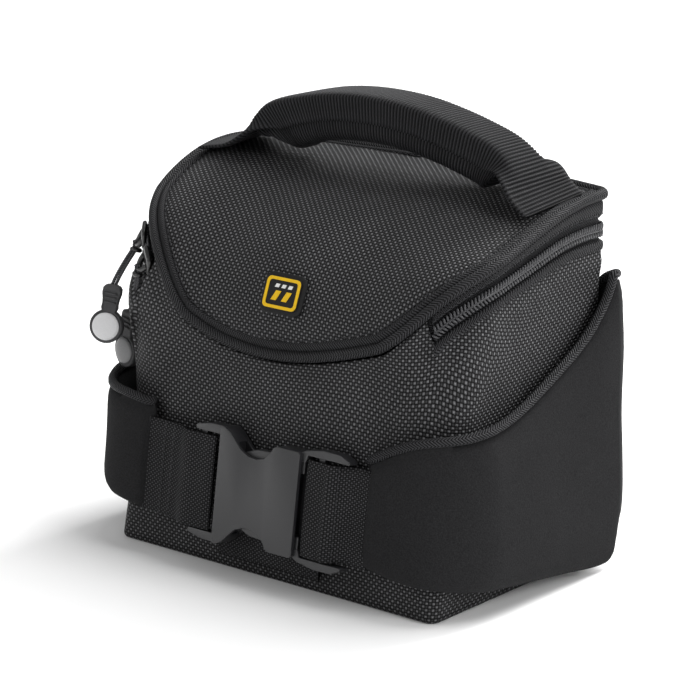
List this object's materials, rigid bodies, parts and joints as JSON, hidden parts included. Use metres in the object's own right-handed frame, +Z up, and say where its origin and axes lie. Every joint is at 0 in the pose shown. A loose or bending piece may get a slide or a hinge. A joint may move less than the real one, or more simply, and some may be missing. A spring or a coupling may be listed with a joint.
{
  "type": "small handlebar bag",
  "caption": "Compact boxy cloth bag with a D-shaped zipped lid, a padded carrying handle and a foam-winged belt buckled round its front.",
  "frame": {"origin": "middle of the flat base", "axes": "+X to the bag's right as seen from its front, +Y to its back, +Z up; the front faces -Y"},
  "size_m": [0.1948, 0.1189, 0.1792],
  "materials": {
    "ballistic_nylon": "coarse matt weave",
    "piping_tape": "matt herringbone tape",
    "zip_teeth": "satin",
    "black_metal": "semi-gloss",
    "grey_cord": "braided",
    "grey_rubber": "matt",
    "reflective_disc": "light grey, slightly glossy",
    "ribbed_webbing": "ribbed",
    "foam_cloth": "fine matt nap over foam",
    "belt_webbing": "woven",
    "buckle_plastic": "satin moulded",
    "black_rubber": "matt",
    "badge_print": "moulded colours",
    "black_plastic": "matt"
  },
  "bodies": {
    "root": {"bag_body": "ballistic_nylon", "lid": "ballistic_nylon", "lid_piping": "piping_tape", "lid_side_band": "piping_tape", "zip_tape_upper": "piping_tape", "zip_tape_lower": "piping_tape", "zip_coil": "zip_teeth", "zip_slider_1": "black_metal", "zip_slider_2": "black_metal", "pull_cord_1": "grey_cord", "pull_cord_2": "grey_cord", "pull_tag_1": "grey_rubber", "pull_tag_2": "grey_rubber", "pull_disc_1": "reflective_disc", "pull_disc_2": "reflective_disc", "handle_webbing": "ribbed_webbing", "handle_grip": "ribbed_webbing", "wing_right": "foam_cloth", "wing_left": "foam_cloth", "wing_binding_right": "piping_tape", "wing_binding_left": "piping_tape", "strap_right": "belt_webbing", "strap_left": "belt_webbing", "strap_tail": "belt_webbing", "belt_back": "belt_webbing", "buckle_housing": "buckle_plastic", "buckle_insert": "buckle_plastic", "badge": "black_rubber", "badge_face": "badge_print", "mount_plate": "black_plastic"}
  },
  "joints": []
}
